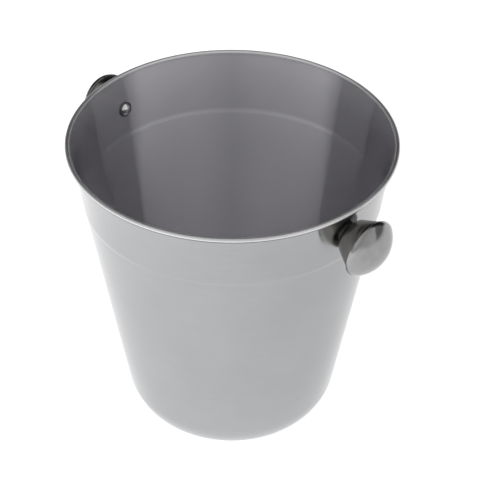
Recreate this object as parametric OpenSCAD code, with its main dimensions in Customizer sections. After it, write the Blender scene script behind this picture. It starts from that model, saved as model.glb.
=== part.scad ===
// Champagne bucket in drawn stainless steel: a tapered shell with a stepped band under its curled rim,
// and two hollow mushroom knobs. A dome-head bolt from the inside holds each knob to the wall.
// Origin at the centre of the base, +Z up, knobs on the X axis. Millimetres.

/* [Bucket] */
// Diameter over the curled rim
rim_d = 200; // [160:1:260]
// Overall height
height = 200; // [150:1:260]
// Diameter that the straight lower wall would have at the base plane
foot_d = 121.4; // [100:0.2:150]
// Radius of the big curve between wall and base, on the outside
corner_r = 31; // [15:1:36]
// Sheet thickness of the bucket
sheet = 0.7; // [0.5:0.1:1.2]
// Radius of the curled rim's round section
curl_r = 1.5; // [1.2:0.1:2.2]

/* [Band under the rim] */
// Height from the top of the rim down to the middle of the step in the wall
band_h = 39.5; // [33:0.5:50]
// Radius lost from the outside of the rim down to the foot of the band
band_flare = 9.3; // [6:0.1:14]
// Share of the band's flare that is curved instead of straight
band_curve = 0.4; // [0:0.05:0.6]
// How far the step stands out from the line of the lower wall
step_out = 0.5; // [0.2:0.1:1.5]
// Height that the step takes up
step_h = 4; // [2:0.5:6]

/* [Base] */
// Width of the flat ring that the bucket stands on
rest_w = 8; // [4:0.5:12]
// Width of the slope around the raised middle of the base
dish_slope = 3; // [2:0.5:5]
// Height of the raised middle of the base
dish_h = 1.2; // [0:0.1:3]

/* [Knobs] */
// Largest diameter of a knob
knob_d = 37; // [30:0.5:45]
// Diameter of a knob's flat back
knob_back_d = 22; // [16:0.5:26]
// Radius of the rounded edge of a knob's back
back_edge_r = 1.6; // [1:0.2:3]
// Length of a knob from its back to its widest edge
cup_h = 13.8; // [10:0.2:18]
// Height of the domed cap above the widest edge
cap_h = 10.7; // [8:0.1:14]
// Radius of the rounded shoulder of the cap
shoulder_r = 3.5; // [2:0.5:5.5]
// Length of the cap's skirt, which closes over the cup
skirt_h = 1.4; // [1:0.2:2.4]
// Sheet thickness of a knob
knob_sheet = 0.8; // [0.6:0.1:1.2]
// Height from the top of the rim down to the centre of a knob's hole in the wall
knob_drop = 21.8; // [20:0.2:27]

/* [Fixings] */
// Thickness of the rubber seal between wall and spacer
seal_h = 0.6; // [0.5:0.1:1.5]
// Outside diameter of the spacer and of the seal
spacer_d = 13; // [10:0.5:16]
// Thickness of the spacer
spacer_h = 1.4; // [1:0.2:4]
// Diameter of the bolt's shank
bolt_d = 4; // [3:0.5:6]
// Diameter of the bolt's domed head
head_d = 7.6; // [6.4:0.2:11]
// Height of the bolt's domed head
head_h = 2.4; // [1.6:0.1:3.2]
// Outside diameter of the washer under the bolt's head
washer_d = 9.4; // [8:0.2:12]
// Thickness of that washer
washer_h = 0.8; // [0.5:0.1:1.5]
// Outside diameter of the threaded boss inside a knob
boss_d = 9; // [8:0.5:12]
// Length of the threaded boss
boss_h = 9; // [6:0.5:9]
// How far the bolt reaches into the threaded boss
bolt_grip = 7.5; // [4:0.5:8]

/* [Clearances] */
// Radial room around the bolt in the wall, seal, spacer, washer and knob back
bolt_room = 0.3; // [0.1:0.05:0.6]
// Radial room between the bolt and the boss's thread
thread_room = 0.05; // [0.02:0.01:0.1]
// Room between the cup's lip and the cap's skirt around it
crimp_room = 0.05; // [0.02:0.01:0.2]

/* [Hidden] */
$fn = 96;

rim_r = rim_d / 2;
foot_r = foot_d / 2;
knob_r = knob_d / 2;
hole_r = bolt_d / 2 + bolt_room;

// The wall's outside: a straight cone below the step and a flaring band above it.
step_z = height - band_h;
curl_z = height - curl_r;
curl_lap = 0.1;
band_foot_r = rim_r - band_flare;
band_top_r = rim_r - 2 * curl_r + sheet + curl_lap;
cone_top_r = band_foot_r - step_out;
cone_k = (cone_top_r - foot_r) / step_z;
cone_a = atan(cone_k);
arc_steps = 20;
step_steps = 10;
band_steps = 16;

function mix(a, b, t) = a + (b - a) * t;
function ease(t) = t <= 0 ? 0 : t >= 1 ? 1 : t * t * (3 - 2 * t);
function cone_r(z) = foot_r + cone_k * z;
function band_r(z) =
    let (t = (z - step_z) / (curl_z - step_z))
    mix(band_foot_r, band_top_r, (1 - band_curve) * t + band_curve * t * t);
function wall_r(z) = mix(cone_r(z), band_r(z), ease((z - step_z) / step_h + 0.5));

// Centre of the round corner of a pressed cup whose wall has slope k and meets the base plane at foot.
function corner_x(foot, k, r) = foot + k * r - r * sqrt(1 + k * k);

// That corner as points, from the base plane up to the wall, offset inwards by d.
function corner(foot, k, r, d) = [
    for (i = [0 : arc_steps])
        let (t = mix(-90, -atan(k), i / arc_steps))
        [corner_x(foot, k, r) + (r - d) * cos(t), r + (r - d) * sin(t)]
];

// The bucket's skin from its axis to the middle of the curled rim, offset inwards by d.
rest_in_r = corner_x(foot_r, cone_k, corner_r) - rest_w;
function shell_skin(d) = concat(
    [[0, dish_h + d], [rest_in_r - dish_slope, dish_h + d], [rest_in_r, d]],
    corner(foot_r, cone_k, corner_r, d),
    [for (i = [0 : step_steps])
        let (z = step_z + step_h * (i / step_steps - 0.5))
        [wall_r(z) - d / cos(cone_a), z]],
    [for (i = [1 : band_steps])
        let (z = mix(step_z + step_h / 2, curl_z, i / band_steps))
        [wall_r(z) - d / cos(cone_a), z]]
);

function reversed(list) = [for (i = [len(list) - 1 : -1 : 0]) list[i]];
module wall_of_revolution(outer, inner) {
    rotate_extrude() polygon(concat(outer, reversed(inner)));
}

// A knob's frame: its origin is where its axis leaves the wall's outside, and +Z points away from the wall.
knob_z = height - knob_drop;
knob_slope = (wall_r(knob_z + 0.5) - wall_r(knob_z - 0.5));
knob_tilt = atan(knob_slope);
module on_wall() {
    translate([wall_r(knob_z), 0, knob_z]) rotate([0, 90 + knob_tilt, 0]) children();
}

// Heights along a knob's axis.
knob_base = seal_h + spacer_h;
wall_h = sheet * cos(knob_tilt) / cos(cone_a);
washer_seat = wall_r(knob_z) - sqrt(pow(wall_r(knob_z), 2) - pow(washer_d / 2, 2));
washer_top = -wall_h - washer_seat;
head_top = washer_top - washer_h;
bolt_end = knob_base + knob_sheet + bolt_grip;
bore_in = 5;

module ring(r, z0, z1, bore) {
    difference() {
        translate([0, 0, z0]) cylinder(r = r, h = z1 - z0);
        translate([0, 0, z0 - 1]) cylinder(r = bore, h = z1 - z0 + 2);
    }
}

module bucket_solid() {
    rotate_extrude($fn = 360) polygon(concat(shell_skin(0), [[0, curl_z]]));
}

module bucket_shell() color([0.74, 0.75, 0.76]) difference() {
    union() {
        wall_of_revolution(shell_skin(0), shell_skin(sheet));
        rotate_extrude() translate([rim_r - curl_r, curl_z]) circle(r = curl_r);
    }
    on_wall() translate([0, 0, -bore_in]) cylinder(r = hole_r, h = 2 * bore_in);
    mirror([1, 0, 0]) on_wall() translate([0, 0, -bore_in]) cylinder(r = hole_r, h = 2 * bore_in);
}

// Cup: the flat back and the conical side of a knob, ending in a straight lip inside the cap's skirt.
lip_r = knob_r - knob_sheet - crimp_room;
lip_z = cup_h - skirt_h;
cup_k = (lip_r - knob_back_d / 2) / lip_z;
function cup_skin(d) = concat(
    [[hole_r, d]],
    corner(knob_back_d / 2, cup_k, back_edge_r, d),
    [[lip_r - d, lip_z - d * tan(atan(cup_k) / 2)], [lip_r - d, cup_h - crimp_room]]
);

module knob_cup() color([0.62, 0.61, 0.58]) on_wall() translate([0, 0, knob_base])
    wall_of_revolution(cup_skin(0), cup_skin(knob_sheet));

// Cap: a straight skirt, a rounded shoulder and a flatter crown, all tangent to each other.
shoulder_x = knob_r - shoulder_r;
crown_r = (pow(cap_h, 2) + pow(shoulder_x, 2) - pow(shoulder_r, 2)) / (2 * (cap_h - shoulder_r));
crown_a = atan2(shoulder_x, crown_r - cap_h);
function cap_skin(d) = concat(
    [[knob_r - d, lip_z]],
    [for (i = [0 : arc_steps])
        let (t = mix(0, 90 - crown_a, i / arc_steps))
        [shoulder_x + (shoulder_r - d) * cos(t), cup_h + (shoulder_r - d) * sin(t)]],
    [for (i = [1 : arc_steps])
        let (t = mix(crown_a, 0, i / arc_steps))
        [(crown_r - d) * sin(t), cup_h + cap_h - crown_r + (crown_r - d) * cos(t)]]
);

module knob_cap() color([0.70, 0.69, 0.68]) on_wall() translate([0, 0, knob_base])
    wall_of_revolution(cap_skin(0), cap_skin(knob_sheet));

module threaded_boss() color([0.66, 0.66, 0.64]) on_wall() translate([0, 0, knob_base])
    ring(boss_d / 2, knob_sheet, knob_sheet + boss_h, bolt_d / 2 + thread_room);

module spacer() color([0.45, 0.44, 0.42]) on_wall() ring(spacer_d / 2, seal_h, knob_base, hole_r);

// Seal: flat towards the spacer, shaped to the round wall on its other side.
module seal() color([0.12, 0.12, 0.12]) difference() {
    on_wall() ring(spacer_d / 2, -sheet, seal_h, hole_r);
    bucket_solid();
}

module washer() color([0.78, 0.78, 0.78]) on_wall() ring(washer_d / 2, head_top, washer_top, hole_r);

// Bolt: a domed head inside the bucket and a shank that screws into the knob's boss.
head_edge_h = 0.4;
dome_h = head_h - head_edge_h;
dome_r = (pow(head_d / 2, 2) + pow(dome_h, 2)) / (2 * dome_h);
module bolt() color([0.80, 0.80, 0.80]) on_wall() union() {
    translate([0, 0, head_top - head_edge_h]) cylinder(d = head_d, h = head_edge_h);
    intersection() {
        translate([0, 0, head_top - head_h + dome_r]) sphere(r = dome_r);
        translate([0, 0, head_top - head_h]) cylinder(d = head_d, h = dome_h);
    }
    translate([0, 0, head_top - head_edge_h]) cylinder(d = bolt_d, h = bolt_end - head_top + head_edge_h);
}

bucket_shell();
knob_cap();  // knob_cap_right
knob_cup();  // knob_cup_right
threaded_boss();  // threaded_boss_right
spacer();  // spacer_right
seal();  // seal_right
washer();  // washer_right
bolt();  // bolt_right
mirror([1, 0, 0]) knob_cap();  // knob_cap_left
mirror([1, 0, 0]) knob_cup();  // knob_cup_left
mirror([1, 0, 0]) threaded_boss();  // threaded_boss_left
mirror([1, 0, 0]) spacer();  // spacer_left
mirror([1, 0, 0]) seal();  // seal_left
mirror([1, 0, 0]) washer();  // washer_left
mirror([1, 0, 0]) bolt();  // bolt_left
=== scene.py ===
"""A champagne bucket in drawn stainless steel with two mushroom knobs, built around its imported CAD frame."""

import math

import bmesh
import bpy
from mathutils import Matrix, Vector


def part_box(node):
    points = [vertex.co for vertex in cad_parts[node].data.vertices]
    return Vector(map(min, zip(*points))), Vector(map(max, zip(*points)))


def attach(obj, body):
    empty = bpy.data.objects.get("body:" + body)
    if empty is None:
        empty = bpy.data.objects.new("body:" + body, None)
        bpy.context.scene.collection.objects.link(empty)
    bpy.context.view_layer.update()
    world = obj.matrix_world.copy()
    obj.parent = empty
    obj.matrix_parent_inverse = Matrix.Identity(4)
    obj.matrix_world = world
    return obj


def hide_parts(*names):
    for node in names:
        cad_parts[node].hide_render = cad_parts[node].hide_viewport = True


bl_info = {
    "name": "Champagne bucket",
    "version": (1, 0, 0),
    "blender": (4, 5, 0),
    "location": "View3D > Sidebar > Bucket",
    "description": "Builds a knob-handled champagne bucket around its CAD frame",
    "category": "Mesh",
}

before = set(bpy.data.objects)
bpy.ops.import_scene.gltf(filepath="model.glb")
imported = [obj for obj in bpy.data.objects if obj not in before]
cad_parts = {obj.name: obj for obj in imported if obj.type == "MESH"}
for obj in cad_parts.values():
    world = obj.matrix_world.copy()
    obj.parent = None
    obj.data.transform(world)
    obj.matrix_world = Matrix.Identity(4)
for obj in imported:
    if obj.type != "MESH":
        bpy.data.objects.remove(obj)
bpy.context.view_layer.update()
SHELL_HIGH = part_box("bucket_shell")[1]
BODY = "root"
SIDES = {"right": 0.0, "left": math.pi}
MM = 0.001
MERGE_GAP = 2e-7


# ---------------------------------------------------------------- sizes and colours

def length(name, description, millimetres):
    return bpy.props.FloatProperty(
        name=name, description=description, default=millimetres * MM, min=0.0,
        unit="LENGTH", subtype="DISTANCE", precision=5)


def share(name, description, value):
    return bpy.props.FloatProperty(
        name=name, description=description, default=value, min=0.0, max=1.0, subtype="FACTOR")


def tint(name, description, value):
    return bpy.props.FloatVectorProperty(
        name=name, description=description, default=value, min=0.0, max=1.0, size=3, subtype="COLOR")


def turn(name, description, degrees):
    return bpy.props.FloatProperty(
        name=name, description=description, default=math.radians(degrees),
        unit="ROTATION", subtype="ANGLE")


def amount(name, description, value):
    return bpy.props.FloatProperty(name=name, description=description, default=value, min=0.0)


class ShellSizes(bpy.types.PropertyGroup):
    """Sizes of the drawn shell."""
    rim_r: length("Rim radius", "Radius over the curled rim", SHELL_HIGH.x / MM)
    height: length("Height", "Overall height", SHELL_HIGH.z / MM)
    foot_r: length("Foot radius", "Radius of the lower wall's line at the base plane", 60.7)
    corner_r: length("Corner radius", "Radius of the curve between wall and base", 31)
    sheet: length("Sheet", "Thickness of the sheet", 0.7)
    curl_r: length("Curl radius", "Outer radius of the curled rim's section", 1.5)
    band_h: length("Band height", "From the rim down to the step in the wall", 39.5)
    band_flare: length("Band flare", "Radius lost from the rim to the foot of the band", 9.3)
    band_curve: share("Band curve", "Share of the band's flare that is curved", 0.4)
    step_out: length("Step out", "How far the step stands out", 0.5)
    step_h: length("Step height", "Height that the step takes up", 4)
    rest_w: length("Rest width", "Width of the flat ring that the bucket stands on", 8)
    dish_slope: length("Dish slope", "Width of the slope round the raised base", 3)
    dish_h: length("Dish height", "Height of the raised middle of the base", 1.2)


class KnobSizes(bpy.types.PropertyGroup):
    """Sizes of the hollow knobs."""
    drop: length("Drop", "From the rim down to the knob's hole in the wall", 21.8)
    radius: length("Radius", "Largest radius of a knob", 18.5)
    back_r: length("Back radius", "Radius of the flat back", 11)
    back_edge_r: length("Back edge", "Radius of the back's rounded edge", 1.6)
    cup_h: length("Cup height", "From the back to the widest edge", 13.8)
    cap_h: length("Cap height", "Height of the dome above the widest edge", 10.7)
    shoulder_r: length("Shoulder", "Radius of the cap's rounded shoulder", 3.5)
    skirt_h: length("Skirt", "Length of the skirt that closes over the cup", 1.4)
    sheet: length("Sheet", "Thickness of a knob's sheet", 0.8)
    crimp_room: length("Crimp room", "Room between the cup's lip and the skirt", 0.05)


class FixingSizes(bpy.types.PropertyGroup):
    """Sizes of what holds a knob to the wall."""
    hole_r: length("Hole radius", "Radius of the hole round the bolt", 2.3)
    seal_h: length("Seal", "Thickness of the rubber seal", 0.6)
    spacer_r: length("Spacer radius", "Outside radius of the spacer", 6.5)
    spacer_h: length("Spacer height", "Thickness of the spacer", 1.4)
    bolt_r: length("Bolt radius", "Radius of the bolt's shank", 2)
    head_r: length("Head radius", "Radius of the domed head", 3.8)
    head_h: length("Head height", "Height of the domed head", 2.4)
    head_edge_h: length("Head edge", "Height of the head's straight edge", 0.4)
    washer_r: length("Washer radius", "Outside radius of the washer", 4.7)
    washer_h: length("Washer height", "Thickness of the washer", 0.8)
    grip: length("Grip", "How far the bolt reaches into the boss", 7.5)


class Finishes(bpy.types.PropertyGroup):
    """Colours and polish."""
    shell: tint("Bucket steel", "Colour of the bucket's steel", (0.362, 0.366, 0.374))
    inside: tint("Inside steel", "Colour of the inside of the bucket", (0.75, 0.735, 0.77))
    # The rim's steel is much lighter than the wall's: partly its polish, partly a painted highlight along the
    # bead's top and inner side.
    rim: tint("Rim steel", "Colour of the polished rim", (0.76, 0.76, 0.77))
    # Painted shade: the curl's outer underside gets this dark steel for the shade in the crease where the curl
    # meets the wall.
    rim_painted_shade: tint("Rim underside", "Colour of the unpolished underside of the rim", (0.18, 0.18, 0.18))
    cap: tint("Cap steel", "Colour of the knobs' domed fronts", (0.325, 0.32, 0.325))
    # Painted shade: the knobs' conical backs, which face the wall, get a darker steel than their domed fronts.
    cup: tint("Cup steel", "Colour of the knobs' conical backs", (0.235, 0.225, 0.21))
    fixing: tint("Fixing steel", "Colour of bolts and bosses", (0.75, 0.75, 0.75))
    # Painted shade: the washers get a dark steel so that a dark ring of shade shows round each bolt head.
    washer: tint("Washer steel", "Colour of the washers", (0.2, 0.2, 0.2))
    spacer: tint("Spacer steel", "Colour of the turned spacers", (0.30, 0.29, 0.28))
    rubber: tint("Rubber", "Colour of the seals", (0.02, 0.02, 0.02))
    outside_rough: share("Outside roughness", "Roughness of the outside", 0.16)
    outside_spin: share("Outside spin", "How strongly the outside's polish runs round the bucket", 0.7)
    inside_rough: share("Inside roughness", "Roughness of the inside", 0.15)
    inside_spread: share("Inside spread", "How much more the inside blurs up and down than sideways", 0.957)
    rim_rough: share("Rim roughness", "Roughness of the rim", 0.45)
    rim_painted_shade_rough: share("Rim underside roughness", "Roughness of the rim's underside", 0.3)
    cap_rough: share("Cap roughness", "Roughness of the knobs' domed fronts", 0.16)
    cup_rough: share("Cup roughness", "Roughness of the knobs' conical backs", 0.2)
    fixing_rough: share("Fixing roughness", "Roughness of bolts and bosses", 0.12)
    washer_rough: share("Washer roughness", "Roughness of the washers", 0.3)
    spacer_rough: share("Spacer roughness", "Roughness of the turned spacers", 0.35)
    rubber_rough: share("Rubber roughness", "Roughness of the seals", 0.8)


class StudioSettings(bpy.types.PropertyGroup):
    """Camera, lights and floor."""
    azimuth: turn("Azimuth", "Direction that the camera stands in, from -Y towards +X", 43.5)
    elevation: turn("Elevation", "Height of the camera as an angle", 38.04)
    distance: length("Distance", "From the middle of the bucket to the camera", 1375.4)
    aim_up: length("Aim height", "Height of the point that the camera looks at", 124.3)
    aim_right: length("Aim right", "How far to the camera's right that point lies", 5.0)
    roll: turn("Roll", "Turn of the camera about its own axis", 0.43)
    lens: bpy.props.FloatProperty(
        name="Lens", description="Focal length", default=165.5, min=1.0,
        unit="CAMERA", subtype="DISTANCE_CAMERA")
    floor: tint("Floor", "Colour of the floor", (0.93, 0.93, 0.93))
    floor_size: length("Floor size", "Width of the floor", 16000)
    floor_glow: amount("Floor glow", "Light the floor gives off", 0.92)
    floor_fall: amount("Floor fall", "How much less light its right side gives off", 0.32)
    floor_reach: length("Floor reach", "Half of the width that this fall is spread over", 220)
    light_tint: tint("Light tint", "Colour of the surroundings", (1, 1, 1))
    bright: amount("Bright", "Strength of the wide soft light", 0.56)
    side_gain: amount("Side gain", "How much stronger that light grows towards its sides", 1.0)
    beside: amount("Beside", "Strength of the surroundings beside it", 0.255)
    behind: amount("Behind", "Strength of the surroundings behind", 0.03)
    horizon: amount("Horizon", "Strength of the pale horizon", 0.9)
    horizon_top: amount("Horizon top", "Height at which the pale horizon ends, as a slope", 0.2)
    light_edge: turn("Light edge", "Where the soft light ends, turned from the camera, at floor level", 62)
    light_lean: amount("Light lean", "How far the soft light leans back over the object, as a slope", 0.65)
    side_edge: turn("Side edge", "Where the surroundings beside it end, turned from the camera", 108)
    side_lean: amount("Side lean", "How far the surroundings beside it lean back, as a slope", 0.35)
    edge_soft: amount("Edge softness", "Softness of these edges", 0.01)


GROUPS = {
    "bucket_shell_sizes": ShellSizes,
    "bucket_knob_sizes": KnobSizes,
    "bucket_fixing_sizes": FixingSizes,
    "bucket_finishes": Finishes,
    "bucket_studio": StudioSettings,
}


# ---------------------------------------------------------------- the wall's line

def mix(a, b, t):
    return a + (b - a) * t


def ease(t):
    t = min(max(t, 0.0), 1.0)
    return t * t * (3 - 2 * t)


class WallLine:
    """The outside radius of the bucket's wall at each height: a cone, a step and a flaring band."""

    def __init__(self, sizes):
        self.step_z = sizes.height - sizes.band_h
        self.curl_z = sizes.height - sizes.curl_r
        self.band_foot_r = sizes.rim_r - sizes.band_flare
        self.band_top_r = sizes.rim_r - 2 * sizes.curl_r + sizes.sheet
        self.foot_r = sizes.foot_r
        self.slope = (self.band_foot_r - sizes.step_out - sizes.foot_r) / self.step_z
        self.angle = math.atan(self.slope)
        self.band_curve = sizes.band_curve
        self.step_h = sizes.step_h

    def radius(self, z):
        cone = self.foot_r + self.slope * z
        t = (z - self.step_z) / (self.curl_z - self.step_z)
        flare = (1 - self.band_curve) * t + self.band_curve * t * t
        band = mix(self.band_foot_r, self.band_top_r, flare)
        return mix(cone, band, ease((z - self.step_z) / self.step_h + 0.5))

    def lean(self, z):
        """Angle of the wall away from upright at height z."""
        half = 0.5 * MM
        return math.atan((self.radius(z + half) - self.radius(z - half)) / (2 * half))


def corner_centre(foot, slope, radius):
    """Centre radius of a rounded corner between the base plane and a wall of this slope."""
    return foot + slope * radius - radius * math.sqrt(1 + slope * slope)


def knob_place(context, turned):
    """Frame of a knob: origin where its axis leaves the wall's outside, +Z away from the wall."""
    sizes = context.scene.bucket_shell_sizes
    wall = WallLine(sizes)
    z = sizes.height - context.scene.bucket_knob_sizes.drop
    seat = Matrix.Translation((wall.radius(z), 0, z)) @ Matrix.Rotation(math.pi / 2 + wall.lean(z), 4, "Y")
    return Matrix.Rotation(turned, 4, "Z") @ seat


# ---------------------------------------------------------------- mesh work

def line(bm, vert, *points):
    """Draws straight edges from vert through (radius, height) points and returns the last vertex."""
    for radius, height in points:
        new = bm.verts.new((radius, 0, height))
        bm.edges.new((vert, new))
        vert = new
    return vert


def arc(bm, vert, centre, angle, steps):
    """Draws an arc from vert about centre, anticlockwise seen with radius to the right and height up."""
    made = bmesh.ops.spin(
        bm, geom=[vert], cent=(centre[0], 0, centre[1]), axis=(0, -1, 0), angle=angle, steps=steps)
    return next(v for v in made["geom_last"] if isinstance(v, bmesh.types.BMVert))


def start(bm, radius, height):
    """Sets the first vertex of a section, which line and arc then draw."""
    return bm.verts.new((radius, 0, height))


def on_circle(centre, radius, angle):
    """The point at this angle on a circle, as radius and height."""
    return centre[0] + radius * math.cos(angle), centre[1] + radius * math.sin(angle)


def close(bm, last, first):
    bm.edges.new((last, first))


def revolve(bm, steps, place=None):
    """Spins the drawn section once round the Z axis, closes the seam and the poles, and puts it in place."""
    bmesh.ops.spin(
        bm, geom=bm.verts[:] + bm.edges[:], cent=(0, 0, 0), axis=(0, 0, 1), angle=math.tau,
        steps=steps, use_merge=True)
    bmesh.ops.remove_doubles(bm, verts=bm.verts, dist=MERGE_GAP)
    bmesh.ops.recalc_face_normals(bm, faces=bm.faces)
    if place is not None:
        bmesh.ops.transform(bm, matrix=place, verts=bm.verts)


def finish_piece(name, bm, materials, nodes, sharp=math.radians(35)):
    """Turns the bmesh into a smooth-shaded object that rides on the frame and stands for CAD nodes."""
    for face in bm.faces:
        face.smooth = True
    for edge in bm.edges:
        edge.smooth = not (len(edge.link_faces) == 2 and edge.calc_face_angle() > sharp)
    mesh = bpy.data.meshes.new(name)
    bm.to_mesh(mesh)
    bm.free()
    for material in materials:
        mesh.materials.append(material)
    piece = bpy.data.objects.new(name, mesh)
    bpy.context.scene.collection.objects.link(piece)
    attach(piece, BODY)
    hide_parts(*nodes)


def dress_node(node, material):
    """Gives a CAD node that keeps its own mesh a finished material."""
    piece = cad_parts[node]
    piece.data.materials.clear()
    piece.data.materials.append(material)


def open_hole(bm, place, radius, clear, heights):
    """Opens a round hole about the Z axis of place through a wall whose two skins lie at these heights."""
    into = place.inverted()

    def spot(co):
        local = into @ co
        return math.hypot(local.x, local.y), local.z

    middle = sum(heights) / 2
    near = [f for f in bm.faces
            if all(spot(v.co)[0] < clear and abs(spot(v.co)[1] - middle) < clear for v in f.verts)]
    bmesh.ops.delete(bm, geom=near, context="FACES")
    edge = [e for e in bm.edges if len(e.link_faces) == 1]
    rings = []
    for height in heights:
        skin = [e for e in edge if abs(spot(e.verts[0].co)[1] - height) < abs(middle - height)]
        made = bmesh.ops.create_circle(
            bm, cap_ends=False, radius=radius, segments=len(skin),
            matrix=place @ Matrix.Translation((0, 0, height)))
        ring = list({e for v in made["verts"] for e in v.link_edges})
        bmesh.ops.bridge_loops(bm, edges=skin + ring)
        rings += ring
    bmesh.ops.bridge_loops(bm, edges=rings)
    bmesh.ops.recalc_face_normals(bm, faces=bm.faces)


# ---------------------------------------------------------------- materials

class Graph:
    """Adds nodes to one node tree, with coordinates taken from one output of its Texture Coordinate node."""

    def __init__(self, tree, space="Object"):
        self.nodes, self.links = tree.nodes, tree.links
        self.place = self.nodes.new("ShaderNodeTexCoord").outputs[space]

    def add(self, kind, feeds=(), **settings):
        """Adds a node; feeds pairs its sockets with outputs of other nodes or with plain values."""
        node = self.nodes.new(kind)
        for name, value in settings.items():
            setattr(node, name, value)
        for socket, value in feeds:
            if isinstance(value, bpy.types.NodeSocket):
                self.links.new(value, node.inputs[socket])
            else:
                node.inputs[socket].default_value = value
        return node

    def maths(self, operation, *values):
        return self.add("ShaderNodeMath", enumerate(values), operation=operation).outputs["Value"]

    def along(self, direction):
        """How far the coordinates reach in a direction."""
        feeds = ((0, self.place), (1, direction))
        return self.add("ShaderNodeVectorMath", feeds, operation="DOT_PRODUCT").outputs["Value"]

    def ranged(self, value, low, high, start=0.3, end=0.7):
        """Turns a value between start and end into one between low and high, and holds it there beyond."""
        feeds = (("Value", value), ("From Min", start), ("From Max", end), ("To Min", low), ("To Max", high))
        return self.add("ShaderNodeMapRange", feeds).outputs["Result"]

    def noise(self, scale, detail, stretch=(1, 1, 1)):
        """Cloudy noise; a stretch below 1 draws it out along that axis."""
        mapping = self.add("ShaderNodeMapping", (("Vector", self.place), ("Scale", stretch)))
        feeds = (("Vector", mapping.outputs["Vector"]), ("Scale", scale), ("Detail", detail))
        return self.add("ShaderNodeTexNoise", feeds).outputs["Fac"]

    def blend(self, share_second, first, second):
        feeds = (("Factor", share_second), ("A", (*first, 1)), ("B", (*second, 1)))
        return self.add("ShaderNodeMix", feeds, data_type="RGBA").outputs["Result"]

    def relief(self, height, distance):
        feeds = (("Height", height), ("Strength", 1.0), ("Distance", distance))
        return self.add("ShaderNodeBump", feeds).outputs["Normal"]

    def around(self):
        """Direction round the Z axis, which spun steel is polished along."""
        return self.add("ShaderNodeTangent", direction_type="RADIAL", axis="Z").outputs["Tangent"]


def shaded(colour, factor):
    """The colour made darker or lighter."""
    return [min(c * factor, 1) for c in colour]


def principled(name):
    """A new material, the sockets of its shader and a graph to feed them."""
    material = bpy.data.materials.new(name)
    material.use_nodes = True
    return material, material.node_tree.nodes["Principled BSDF"].inputs, Graph(material.node_tree)


def steel(name, colour, rough, spun=0.0, streaks=(1, 1, 1), streak_scale=900.0,
          smudge=0.06, smudge_scale=22.0, wave=0.0, wave_scale=14.0):
    """Stainless steel with polishing lines, faint smudges and, on a knob, a slight unevenness."""
    line_share = 0.3
    patchy = 0.15
    material, inputs, graph = principled(name)
    inputs["Metallic"].default_value = 1.0
    smudges = graph.noise(smudge_scale, 4.0)
    lines = graph.noise(streak_scale, 3.0, streaks)
    clouds = graph.ranged(smudges, 0.0, 1 - line_share)
    both = graph.maths("ADD", clouds, graph.ranged(lines, 0.0, line_share))
    tone = graph.blend(both, shaded(colour, 1 - smudge), shaded(colour, 1 + smudge))
    graph.links.new(tone, inputs["Base Color"])
    graph.links.new(graph.ranged(smudges, rough * (1 - patchy), rough * (1 + patchy)), inputs["Roughness"])
    if wave > 0.0:
        graph.links.new(graph.relief(graph.noise(wave_scale, 1.0), wave), inputs["Normal"])
    if spun > 0.0:
        graph.links.new(graph.around(), inputs["Tangent"])
        inputs["Anisotropic"].default_value = spun
        inputs["Anisotropic Rotation"].default_value = 0.25
    return material


def brushed_steel(name, colour, rough, spread,
                  smudge=0.03, smudge_scale=26.0, wave=0.1 * MM, wave_scale=32.0):
    """Steel polished round and round with a fine abrasive: it mirrors sideways and blurs up and down."""
    material, _, graph = principled(name)
    smudges = graph.ranged(graph.noise(smudge_scale, 5.0), 0.0, 1.0)
    tone = graph.blend(smudges, shaded(colour, 1 - smudge), shaded(colour, 1 + smudge))
    gloss = graph.add("ShaderNodeBsdfAnisotropic", (
        ("Color", tone), ("Roughness", rough), ("Anisotropy", spread), ("Tangent", graph.around()),
        ("Normal", graph.relief(graph.noise(wave_scale, 1.0), wave))))
    graph.links.new(gloss.outputs["BSDF"], graph.nodes["Material Output"].inputs["Surface"])
    graph.nodes.remove(graph.nodes["Principled BSDF"])
    return material


def rubber(name, colour, rough, grain_scale=2500.0):
    """Matt black rubber with a fine moulded grain."""
    material, inputs, graph = principled(name)
    inputs["Roughness"].default_value = rough
    grain = graph.noise(grain_scale, 2.0)
    graph.links.new(graph.blend(grain, shaded(colour, 0.7), shaded(colour, 1.5)), inputs["Base Color"])
    graph.links.new(graph.relief(grain, 0.05 * MM), inputs["Normal"])
    return material


def pale_floor(name, colour, glow, glow_fall=0.0, across=(1, 0, 0), reach=1.0):
    """A pale sweep that gives off light of its own, falling off in one direction over the reach."""
    material, inputs, graph = principled(name)
    inputs["Base Color"].default_value = (*colour, 1)
    inputs["Roughness"].default_value = 0.9
    inputs["Emission Color"].default_value = (1, 1, 1, 1)
    inputs["Emission Strength"].default_value = glow
    if glow_fall > 0.0:
        strength = graph.ranged(graph.along(across), glow, glow - glow_fall, -reach, reach)
        graph.links.new(strength, inputs["Emission Strength"])
    return material


# ---------------------------------------------------------------- operators

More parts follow.
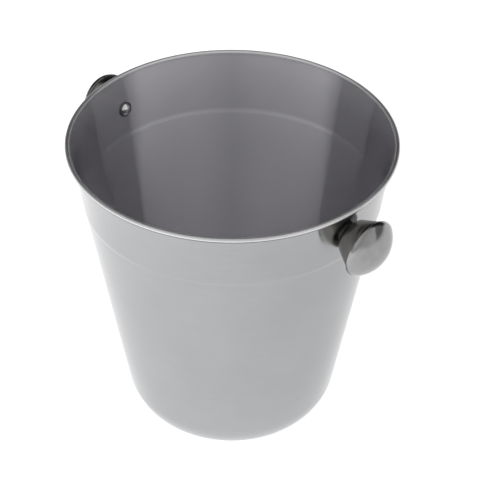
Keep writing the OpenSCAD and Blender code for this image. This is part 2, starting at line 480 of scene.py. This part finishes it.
class BUCKET_OT_shell(bpy.types.Operator):
    """Spins the drawn shell: raised base, rounded corner, tapered wall, stepped band and curled rim"""
    bl_idname = "bucket.shell"
    bl_label = "Bucket shell"

    SPIN_STEPS = 512
    CORNER_STEPS = 14
    LOWER_RINGS = 6
    LOWEST_RING = 45 * MM
    STEP_RINGS = 12
    BAND_RINGS = 14
    HOLE_RINGS = 4
    HOLE_RING_GAP = 1.4 * MM
    HOLE_ZONE = 6.5 * MM
    HOLE_CLEAR = 4.4 * MM
    CURL_STEPS = 22
    CURL_TURN = math.radians(298)
    # Above this reach the curl gets the rim's lighter steel, partly polish and partly painted highlight; below
    # it, the dark steel of painted shade.
    RIM_POLISH_AND_HIGHLIGHT = 0.1  # share of the curl's radius that the rim's polish reaches below its middle
    UPWARD = 0.2  # a face of the base whose normal rises more than this lies inside
    OUTSIDE, INSIDE, RIM, RIM_UNDER = range(4)

    def ring_heights(self, sizes, wall, knob_z):
        """Heights of the wall's rings: close together over the step and round the knobs' holes."""
        below = [mix(wall.step_z, self.LOWEST_RING, i / self.LOWER_RINGS)
                 for i in range(self.LOWER_RINGS, 0, -1)]
        step = [wall.step_z + sizes.step_h * (i / self.STEP_RINGS - 0.5)
                for i in range(self.STEP_RINGS + 1)]
        band = [mix(wall.step_z + sizes.step_h / 2, wall.curl_z, i / self.BAND_RINGS)
                for i in range(1, self.BAND_RINGS)]
        clear = [z for z in band if abs(z - knob_z) > self.HOLE_ZONE]
        near = [knob_z + i * self.HOLE_RING_GAP for i in range(-self.HOLE_RINGS, self.HOLE_RINGS + 1)]
        return below + step + sorted(clear + near)

    def skin(self, face, sizes, base_r, curl):
        """Which of the shell's four finishes a face gets."""
        middle = face.calc_center_median()
        radius = math.hypot(middle.x, middle.y)
        # The curl's top and inner side get the rim's lighter steel with its painted highlight; its outer
        # underside gets painted shade.
        if math.hypot(radius - curl[0], middle.z - curl[1]) < sizes.curl_r:
            polished = middle.z > curl[1] - self.RIM_POLISH_AND_HIGHLIGHT * sizes.curl_r or radius < curl[0]
            return self.RIM if polished else self.RIM_UNDER
        if middle.z < sizes.dish_h * 2 and radius < base_r:
            inward = face.normal.z > self.UPWARD
        else:
            inward = face.normal.x * middle.x + face.normal.y * middle.y < 0
        return self.INSIDE if inward else self.OUTSIDE

    def execute(self, context):
        sizes = context.scene.bucket_shell_sizes
        fixings = context.scene.bucket_fixing_sizes
        looks = context.scene.bucket_finishes
        wall = WallLine(sizes)
        centre = (corner_centre(sizes.foot_r, wall.slope, sizes.corner_r), sizes.corner_r)
        curl = (sizes.rim_r - sizes.curl_r, wall.curl_z)
        rest_in = centre[0] - sizes.rest_w
        dish_r = rest_in - sizes.dish_slope
        dish_top = sizes.dish_h + sizes.sheet
        level_sheet = sizes.sheet / math.cos(wall.angle)
        quarter = math.pi / 2 - wall.angle
        heights = self.ring_heights(sizes, wall, sizes.height - context.scene.bucket_knob_sizes.drop)

        bm = bmesh.new()
        first = start(bm, 0, sizes.dish_h)
        vert = line(bm, first, (dish_r, sizes.dish_h), (rest_in, 0), (centre[0], 0))
        vert = arc(bm, vert, centre, quarter, self.CORNER_STEPS)
        vert = line(bm, vert, *[(wall.radius(z), z) for z in heights], (wall.band_top_r, wall.curl_z))
        vert = arc(bm, vert, curl, -self.CURL_TURN, self.CURL_STEPS)
        vert = line(bm, vert, on_circle(curl, sizes.curl_r, math.pi - self.CURL_TURN))
        vert = arc(bm, vert, curl, self.CURL_TURN, self.CURL_STEPS * 2)
        vert = line(bm, vert, *[(wall.radius(z) - level_sheet, z) for z in reversed(heights)])
        vert = line(bm, vert, on_circle(centre, sizes.corner_r - sizes.sheet, -wall.angle))
        vert = arc(bm, vert, centre, -quarter, self.CORNER_STEPS)
        vert = line(bm, vert, (rest_in, sizes.sheet), (dish_r, dish_top), (0, dish_top))
        close(bm, vert, first)
        revolve(bm, self.SPIN_STEPS)
        for turned in SIDES.values():
            open_hole(bm, knob_place(context, turned), fixings.hole_r, self.HOLE_CLEAR, (0, -sizes.sheet))
        for face in bm.faces:
            face.material_index = self.skin(face, sizes, centre[0], curl)

        outside = steel("bucket_steel_outside", looks.shell, looks.outside_rough, spun=looks.outside_spin,
                        streaks=(0.05, 0.05, 1), streak_scale=700.0, smudge=0.045)
        inside = brushed_steel("bucket_steel_inside", looks.inside, looks.inside_rough, looks.inside_spread)
        # The rim's lighter steel carries a painted highlight; the darker steel under it is painted shade.
        rim = steel("bucket_steel_rim", looks.rim, looks.rim_rough, smudge=0.04)
        under = steel("bucket_steel_rim_painted_shade", looks.rim_painted_shade, looks.rim_painted_shade_rough, smudge=0.1)
        finish_piece("drawn_shell", bm, [outside, inside, rim, under], ["bucket_shell"])
        return {"FINISHED"}


class BUCKET_OT_knobs(bpy.types.Operator):
    """Spins the hollow knobs: a conical cup whose lip sits in the skirt of a domed cap"""
    bl_idname = "bucket.knobs"
    bl_label = "Knobs"

    SPIN_STEPS = 192
    ARC_STEPS = 14
    CROWN_STEPS = 24
    EDGE_STEPS = 6

    def cup(self, sizes, hole_r):
        """Section of the conical back, from its hole round the edge to the lip."""
        lip_r = sizes.radius - sizes.sheet - sizes.crimp_room
        lip_z = sizes.cup_h - sizes.skirt_h
        slope = (lip_r - sizes.back_r) / lip_z
        angle = math.atan(slope)
        centre = (corner_centre(sizes.back_r, slope, sizes.back_edge_r), sizes.back_edge_r)
        kink = sizes.sheet * math.tan(angle / 2)
        top = sizes.cup_h - sizes.crimp_room
        bm = bmesh.new()
        first = start(bm, hole_r, 0)
        vert = line(bm, first, (centre[0], 0))
        vert = arc(bm, vert, centre, math.pi / 2 - angle, self.ARC_STEPS)
        vert = line(bm, vert, (lip_r, lip_z), (lip_r, top), (lip_r - sizes.sheet, top),
                    (lip_r - sizes.sheet, lip_z - kink),
                    on_circle(centre, sizes.back_edge_r - sizes.sheet, -angle))
        vert = arc(bm, vert, centre, angle - math.pi / 2, self.ARC_STEPS)
        vert = line(bm, vert, (hole_r, sizes.sheet))
        close(bm, vert, first)
        return bm

    def cap(self, sizes):
        """Section of the domed front: a hemmed skirt, a rounded shoulder and a flatter crown."""
        shoulder_x = sizes.radius - sizes.shoulder_r
        rise = sizes.cap_h - sizes.shoulder_r
        crown_r = (sizes.cap_h ** 2 + shoulder_x ** 2 - sizes.shoulder_r ** 2) / (2 * rise)
        crown = (0, sizes.cup_h + sizes.cap_h - crown_r)
        crown_angle = math.atan2(shoulder_x, crown_r - sizes.cap_h)
        shoulder = (shoulder_x, sizes.cup_h)
        lip_z = sizes.cup_h - sizes.skirt_h
        hem_r = sizes.sheet / 2
        bm = bmesh.new()
        first = start(bm, sizes.radius - sizes.sheet, lip_z + hem_r)
        vert = arc(bm, first, (sizes.radius - hem_r, lip_z + hem_r), math.pi, self.EDGE_STEPS)
        vert = line(bm, vert, (sizes.radius, sizes.cup_h))
        vert = arc(bm, vert, shoulder, math.pi / 2 - crown_angle, self.ARC_STEPS)
        vert = arc(bm, vert, crown, crown_angle, self.CROWN_STEPS)
        vert = line(bm, vert, (0, vert.co.z - sizes.sheet))
        vert = arc(bm, vert, crown, -crown_angle, self.CROWN_STEPS)
        vert = arc(bm, vert, shoulder, crown_angle - math.pi / 2, self.ARC_STEPS)
        close(bm, vert, first)
        return bm

    def execute(self, context):
        sizes = context.scene.bucket_knob_sizes
        fixings = context.scene.bucket_fixing_sizes
        looks = context.scene.bucket_finishes
        base = Matrix.Translation((0, 0, fixings.seal_h + fixings.spacer_h))
        fine = dict(streak_scale=260.0, smudge=0.12, smudge_scale=60.0, wave=0.05 * MM, wave_scale=60.0)
        # The cup's darker steel is painted shade on the side of the knob that faces the wall.
        cup_painted_shade_steel = steel("knob_steel_cup_painted_shade", looks.cup, looks.cup_rough, **fine)
        cap_steel = steel("knob_steel_cap", looks.cap, looks.cap_rough, **fine)
        for side, turned in SIDES.items():
            place = knob_place(context, turned) @ base
            for piece, bm, material in (
                ("cup", self.cup(sizes, fixings.hole_r), cup_painted_shade_steel), ("cap", self.cap(sizes), cap_steel),
            ):
                revolve(bm, self.SPIN_STEPS, place)
                node = f"knob_{piece}_{side}"
                finish_piece(f"{node}_spun", bm, [material], [node])
        return {"FINISHED"}


class BUCKET_OT_fixings(bpy.types.Operator):
    """Turns the bolts, washers and spacers, and finishes the seals and threaded bosses"""
    bl_idname = "bucket.fixings"
    bl_label = "Fixings"

    SPIN_STEPS = 96
    DOME_STEPS = 16
    EDGE_STEPS = 4
    EDGE = 0.15 * MM
    TIP = 0.4 * MM

    def ring(self, radius, bore, low, high):
        """Section of a flat ring with its outer edges eased."""
        edge = self.EDGE
        bm = bmesh.new()
        first = start(bm, bore, low)
        vert = line(bm, first, (radius - edge, low))
        vert = arc(bm, vert, (radius - edge, low + edge), math.pi / 2, self.EDGE_STEPS)
        vert = line(bm, vert, (radius, high - edge))
        vert = arc(bm, vert, (radius - edge, high - edge), math.pi / 2, self.EDGE_STEPS)
        vert = line(bm, vert, (bore, high))
        close(bm, vert, first)
        return bm

    def bolt(self, sizes, top, end):
        """Section of a domed head below top and a shank up to end."""
        dome_h = sizes.head_h - sizes.head_edge_h
        dome_r = (sizes.head_r ** 2 + dome_h ** 2) / (2 * dome_h)
        low = top - sizes.head_h
        bm = bmesh.new()
        first = start(bm, 0, low)
        vert = arc(bm, first, (0, low + dome_r), math.asin(sizes.head_r / dome_r), self.DOME_STEPS)
        vert = line(bm, vert, (sizes.head_r, top - self.EDGE))
        vert = arc(bm, vert, (sizes.head_r - self.EDGE, top - self.EDGE), math.pi / 2, self.EDGE_STEPS)
        vert = line(bm, vert, (sizes.bolt_r, top), (sizes.bolt_r, end - self.TIP),
                    (sizes.bolt_r - self.TIP, end), (0, end))
        close(bm, vert, first)
        return bm

    def execute(self, context):
        shell = context.scene.bucket_shell_sizes
        sizes = context.scene.bucket_fixing_sizes
        knob = context.scene.bucket_knob_sizes
        looks = context.scene.bucket_finishes
        knob_z = shell.height - knob.drop
        wall = WallLine(shell)
        wall_r = wall.radius(knob_z)
        through_wall = shell.sheet * math.cos(wall.lean(knob_z)) / math.cos(wall.angle)
        wall_bulge = wall_r - math.sqrt(wall_r ** 2 - sizes.washer_r ** 2)
        washer_top = -through_wall - wall_bulge
        head_top = washer_top - sizes.washer_h
        base = sizes.seal_h + sizes.spacer_h
        end = base + knob.sheet + sizes.grip
        plain = dict(streak_scale=600.0, smudge=0.1)
        bright = steel("fixing_steel_bright", looks.fixing, looks.fixing_rough, **plain)
        # The washers' dark steel is painted shade round the bolt heads.
        washer_painted_shade = steel("fixing_steel_painted_shade", looks.washer, looks.washer_rough, **plain)
        turned_steel = steel("spacer_steel_turned", looks.spacer, looks.spacer_rough, smudge=0.15)
        seal_rubber = rubber("seal_rubber_matt", looks.rubber, looks.rubber_rough)
        for side, turned in SIDES.items():
            place = knob_place(context, turned)
            for name, node, bm, material, slot in (
                ("dome_bolt", "bolt", self.bolt(sizes, head_top, end), bright, "fixing_steel"),
                ("head_washer", "washer", self.ring(sizes.washer_r, sizes.hole_r, head_top, washer_top),
                 washer_painted_shade, "fixing_steel"),
                ("knob_spacer", "spacer", self.ring(sizes.spacer_r, sizes.hole_r, sizes.seal_h, base),
                 turned_steel, "spacer_steel"),
            ):
                revolve(bm, self.SPIN_STEPS, place)
                finish_piece(f"{name}_{side}", bm, [material], [f"{node}_{side}"])
            dress_node(f"seal_{side}", seal_rubber)
            dress_node(f"threaded_boss_{side}", bright)
        return {"FINISHED"}


class BUCKET_OT_stage(bpy.types.Operator):
    """Sets the pale floor, the soft studio light and the camera"""
    bl_idname = "bucket.stage"
    bl_label = "Stage"

    BOUNCES = 24
    CLIP_START = 0.1
    CLIP_END = 40.0
    FLOOR_SIDES = 96
    DOME_OVER_FLOOR = 1.2
    HORIZON_FULL = 1 / 3

    def execute(self, context):
        studio = context.scene.bucket_studio
        turned, raised = studio.azimuth, studio.elevation
        level = math.cos(raised)
        back = Vector((math.sin(turned) * level, -math.cos(turned) * level, math.sin(raised)))
        right = Vector((math.cos(turned), math.sin(turned), 0))
        self.set_camera(context, studio, back, right)
        self.set_floor(context, studio, right)
        self.set_backdrop(context, studio)
        self.set_sky(context, studio, back, right)
        context.scene.cycles.max_bounces = self.BOUNCES
        context.scene.cycles.glossy_bounces = self.BOUNCES
        context.scene.cycles.blur_glossy = 0
        context.scene.view_settings.view_transform = "Standard"
        return {"FINISHED"}

    def set_camera(self, context, studio, back, right):
        """A long lens that looks down into the bucket from the side of its right knob."""
        camera = bpy.data.cameras.new("camera")
        camera.lens = studio.lens
        camera.clip_start = self.CLIP_START
        camera.clip_end = self.CLIP_END
        viewer = bpy.data.objects.new("camera", camera)
        middle = Vector((0, 0, context.scene.bucket_shell_sizes.height / 2))
        viewer.location = middle + back * studio.distance
        aim = Vector((0, 0, studio.aim_up)) + right * studio.aim_right
        facing = (aim - viewer.location).to_track_quat("-Z", "Y").to_matrix()
        viewer.rotation_euler = (facing @ Matrix.Rotation(studio.roll, 3, "Z")).to_euler()
        context.scene.collection.objects.link(viewer)
        context.scene.camera = viewer

    def set_backdrop(self, context, studio):
        """A pale dome that only the camera sees, so that the studio has no dark end."""
        bm = bmesh.new()
        radius = studio.floor_size / 2 * self.DOME_OVER_FLOOR
        bmesh.ops.create_uvsphere(bm, u_segments=48, v_segments=24, radius=radius)
        bmesh.ops.reverse_faces(bm, faces=bm.faces)
        mesh = bpy.data.meshes.new("backdrop")
        bm.to_mesh(mesh)
        bm.free()
        mesh.materials.append(pale_floor("backdrop_pale", studio.floor, 1.0))
        backdrop = bpy.data.objects.new("backdrop", mesh)
        for ray in ("diffuse", "glossy", "transmission", "volume_scatter", "shadow"):
            setattr(backdrop, f"visible_{ray}", False)
        context.scene.collection.objects.link(backdrop)

    def set_floor(self, context, studio, right):
        """A wide pale disc under the bucket, whose own light falls off towards the right."""
        bm = bmesh.new()
        bmesh.ops.create_circle(
            bm, cap_ends=True, radius=studio.floor_size / 2, segments=self.FLOOR_SIDES)
        mesh = bpy.data.meshes.new("floor")
        bm.to_mesh(mesh)
        bm.free()
        mesh.materials.append(pale_floor(
            "floor_pale", studio.floor, studio.floor_glow, studio.floor_fall, right, studio.floor_reach))
        floor = bpy.data.objects.new("floor", mesh)
        context.scene.collection.objects.link(floor)

    def set_sky(self, context, studio, back, right):
        """A wide soft light on the camera's side, dimmer surroundings beside and behind, a pale horizon."""
        world = bpy.data.worlds.new("studio")
        world.use_nodes = True
        graph = Graph(world.node_tree, "Generated")
        front = Vector((back.x, back.y, 0)).normalized()
        aside = graph.maths("ABSOLUTE", graph.along(right))
        strength = studio.behind
        for edge_turn, lean, step, gain in (
            (studio.side_edge, studio.side_lean, studio.beside - studio.behind, 0.0),
            (studio.light_edge, studio.light_lean, studio.bright - studio.beside, studio.side_gain),
        ):
            ahead = graph.along(front + Vector((0, 0, lean)))
            inside = graph.maths("SUBTRACT", ahead, graph.maths("MULTIPLY", aside, 1 / math.tan(edge_turn)))
            lit = graph.ranged(inside, 0.0, step, -studio.edge_soft, studio.edge_soft)
            growth = graph.maths("MULTIPLY_ADD", aside, gain, 1.0)
            strength = graph.maths("ADD", strength, graph.maths("MULTIPLY", lit, growth))
        pale_low = graph.ranged(
            graph.along((0, 0, 1)), studio.horizon, 0.0,
            studio.horizon_top * self.HORIZON_FULL, studio.horizon_top)
        strength = graph.maths("MAXIMUM", strength, pale_low)
        background = graph.nodes["Background"].inputs
        background["Color"].default_value = (*studio.light_tint, 1)
        graph.links.new(strength, background["Strength"])
        context.scene.world = world


class BUCKET_PT_panel(bpy.types.Panel):
    """Lists the steps that build the bucket"""
    bl_idname = "BUCKET_PT_panel"
    bl_label = "Champagne bucket"
    bl_space_type = "VIEW_3D"
    bl_region_type = "UI"
    bl_category = "Bucket"

    def draw(self, context):
        for group in GROUPS:
            sizes = getattr(context.scene, group)
            box = self.layout.box()
            for name in sizes.__annotations__:
                box.prop(sizes, name)
        for operator in BUILD_ORDER:
            self.layout.operator(operator.bl_idname)


BUILD_ORDER = (BUCKET_OT_stage, BUCKET_OT_shell, BUCKET_OT_knobs, BUCKET_OT_fixings)
CLASSES = (*GROUPS.values(), *BUILD_ORDER, BUCKET_PT_panel)


def register():
    for cls in CLASSES:
        bpy.utils.register_class(cls)
    for name, group in GROUPS.items():
        setattr(bpy.types.Scene, name, bpy.props.PointerProperty(type=group))


def unregister():
    for name in GROUPS:
        delattr(bpy.types.Scene, name)
    for cls in reversed(CLASSES):
        bpy.utils.unregister_class(cls)


def main():
    """Builds the stage and every piece."""
    register()
    for operator in BUILD_ORDER:
        getattr(bpy.ops.bucket, operator.bl_idname.split(".")[1])()


if __name__ == "__main__":
    main()
